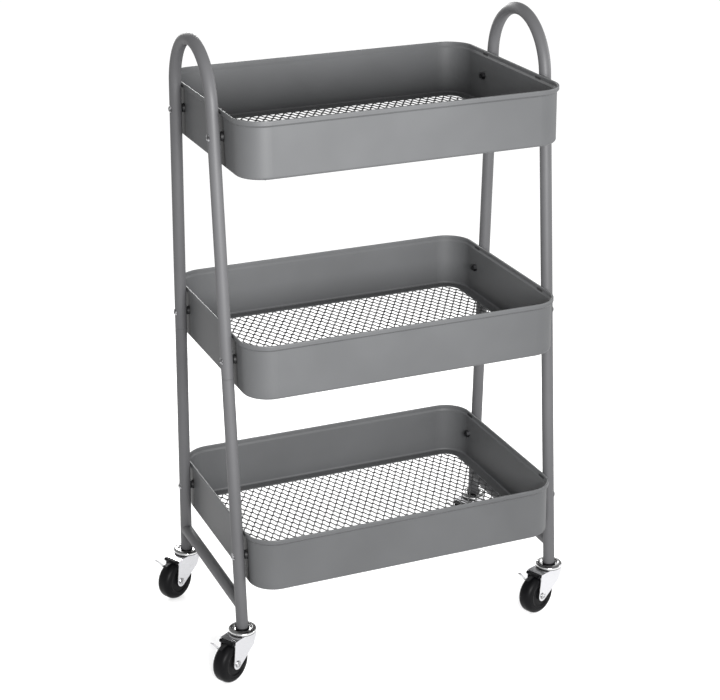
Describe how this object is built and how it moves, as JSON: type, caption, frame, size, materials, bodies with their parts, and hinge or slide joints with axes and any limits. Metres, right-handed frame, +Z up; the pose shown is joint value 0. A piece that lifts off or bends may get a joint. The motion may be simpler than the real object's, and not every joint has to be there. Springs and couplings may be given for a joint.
{
  "type": "rolling utility cart",
  "caption": "Open-tier metal trolley: shallow walled trays with mesh floors hung between arched tube end frames on braked swivel casters.",
  "frame": {"origin": "on the floor, under the middle of the cart's whole box with its casters trailing, 17 mm to the left of the trays' centre", "axes": "+Z up, +X along the length of the trays towards the right-hand end frame, +Y from front to back"},
  "size_m": [0.4851, 0.294, 0.7659],
  "materials": {
    "frame_paint": "satin powder coat",
    "tray_paint": "satin powder coat",
    "mesh_paint": "satin powder coat",
    "screw_steel": "zinc plated",
    "nut_black": "black oxide",
    "bare_steel": "zinc plated",
    "insert_plastic": "moulded",
    "caster_chrome": "bright plated",
    "fork_chrome": "bright plated",
    "axle_steel": "plated rivet",
    "brake_plastic": "moulded",
    "lever_steel": "plated strip",
    "wheel_rubber": "smooth hard rubber"
  },
  "bodies": {
    "frame": {"left_handle_tube": "frame_paint", "left_crossbar": "frame_paint", "left_front_lower_leg": "frame_paint", "left_front_leg_spigot": "bare_steel", "left_back_lower_leg": "frame_paint", "left_back_leg_spigot": "bare_steel", "right_handle_tube": "frame_paint", "right_crossbar": "frame_paint", "right_front_lower_leg": "frame_paint", "right_front_leg_spigot": "bare_steel", "right_back_lower_leg": "frame_paint", "right_back_leg_spigot": "bare_steel", "bottom_tray_band": "tray_paint", "bottom_tray_mesh": "mesh_paint", "bottom_tray_screws": "screw_steel", "bottom_tray_nuts": "nut_black", "middle_tray_band": "tray_paint", "middle_tray_mesh": "mesh_paint", "middle_tray_screws": "screw_steel", "middle_tray_nuts": "nut_black", "top_tray_band": "tray_paint", "top_tray_mesh": "mesh_paint", "top_tray_screws": "screw_steel", "top_tray_nuts": "nut_black", "left_front_stem_sleeve": "insert_plastic", "left_front_caster_stem": "bare_steel", "left_front_raceway_cup": "caster_chrome", "left_back_stem_sleeve": "insert_plastic", "left_back_caster_stem": "bare_steel", "left_back_raceway_cup": "caster_chrome", "right_front_stem_sleeve": "insert_plastic", "right_front_caster_stem": "bare_steel", "right_front_raceway_cup": "caster_chrome", "right_back_stem_sleeve": "insert_plastic", "right_back_caster_stem": "bare_steel", "right_back_raceway_cup": "caster_chrome"},
    "left_front_swivel": {"left_front_caster_fork": "fork_chrome", "left_front_wheel_axle": "axle_steel", "left_front_brake_housing": "brake_plastic"},
    "left_front_wheel": {"left_front_caster_wheel": "wheel_rubber"},
    "left_front_brake": {"left_front_brake_lever": "lever_steel"},
    "left_back_swivel": {"left_back_caster_fork": "fork_chrome", "left_back_wheel_axle": "axle_steel", "left_back_brake_housing": "brake_plastic"},
    "left_back_wheel": {"left_back_caster_wheel": "wheel_rubber"},
    "left_back_brake": {"left_back_brake_lever": "lever_steel"},
    "right_front_swivel": {"right_front_caster_fork": "fork_chrome", "right_front_wheel_axle": "axle_steel", "right_front_brake_housing": "brake_plastic"},
    "right_front_wheel": {"right_front_caster_wheel": "wheel_rubber"},
    "right_front_brake": {"right_front_brake_lever": "lever_steel"},
    "right_back_swivel": {"right_back_caster_fork": "fork_chrome", "right_back_wheel_axle": "axle_steel", "right_back_brake_housing": "brake_plastic"},
    "right_back_wheel": {"right_back_caster_wheel": "wheel_rubber"},
    "right_back_brake": {"right_back_brake_lever": "lever_steel"}
  },
  "joints": [
    {"name": "left_front_swivel_turn", "type": "hinge", "parent": "frame", "child": "left_front_swivel", "pos_m": [-0.1916, -0.1123, 0.05], "axis": [0, 0, 1], "continuous": true},
    {"name": "left_front_wheel_spin", "type": "hinge", "parent": "left_front_swivel", "child": "left_front_wheel", "pos_m": [-0.21246, -0.12534, 0.0254], "axis": [-0.5299, 0.848, 0], "continuous": true},
    {"name": "left_front_brake_press", "type": "hinge", "parent": "left_front_swivel", "child": "left_front_brake", "pos_m": [-0.21679, -0.12804, 0.0534], "axis": [0.5299, -0.848, 0], "range_deg": [0, 12]},
    {"name": "left_back_swivel_turn", "type": "hinge", "parent": "frame", "child": "left_back_swivel", "pos_m": [-0.1916, 0.1123, 0.05], "axis": [0, 0, 1], "continuous": true},
    {"name": "left_back_wheel_spin", "type": "hinge", "parent": "left_back_swivel", "child": "left_back_wheel", "pos_m": [-0.2129, 0.1, 0.0254], "axis": [-0.5, 0.866, 0], "continuous": true},
    {"name": "left_back_brake_press", "type": "hinge", "parent": "left_back_swivel", "child": "left_back_brake", "pos_m": [-0.21732, 0.09745, 0.0534], "axis": [0.5, -0.866, 0], "range_deg": [0, 12]},
    {"name": "right_front_swivel_turn", "type": "hinge", "parent": "frame", "child": "right_front_swivel", "pos_m": [0.2256, -0.1123, 0.05], "axis": [0, 0, 1], "continuous": true},
    {"name": "right_front_wheel_spin", "type": "hinge", "parent": "right_front_swivel", "child": "right_front_wheel", "pos_m": [0.20279, -0.12152, 0.0254], "axis": [-0.3746, 0.9272, 0], "continuous": true},
    {"name": "right_front_brake_press", "type": "hinge", "parent": "right_front_swivel", "child": "right_front_brake", "pos_m": [0.19806, -0.12343, 0.0534], "axis": [0.3746, -0.9272, 0], "range_deg": [0, 12]},
    {"name": "right_back_swivel_turn", "type": "hinge", "parent": "frame", "child": "right_back_swivel", "pos_m": [0.2256, 0.1123, 0.05], "axis": [0, 0, 1], "continuous": true},
    {"name": "right_back_wheel_spin", "type": "hinge", "parent": "right_back_swivel", "child": "right_back_wheel", "pos_m": [0.20388, 0.10075, 0.0254], "axis": [-0.4695, 0.8829, 0], "continuous": true},
    {"name": "right_back_brake_press", "type": "hinge", "parent": "right_back_swivel", "child": "right_back_brake", "pos_m": [0.19938, 0.09836, 0.0534], "axis": [0.4695, -0.8829, 0], "range_deg": [0, 12]}
  ]
}
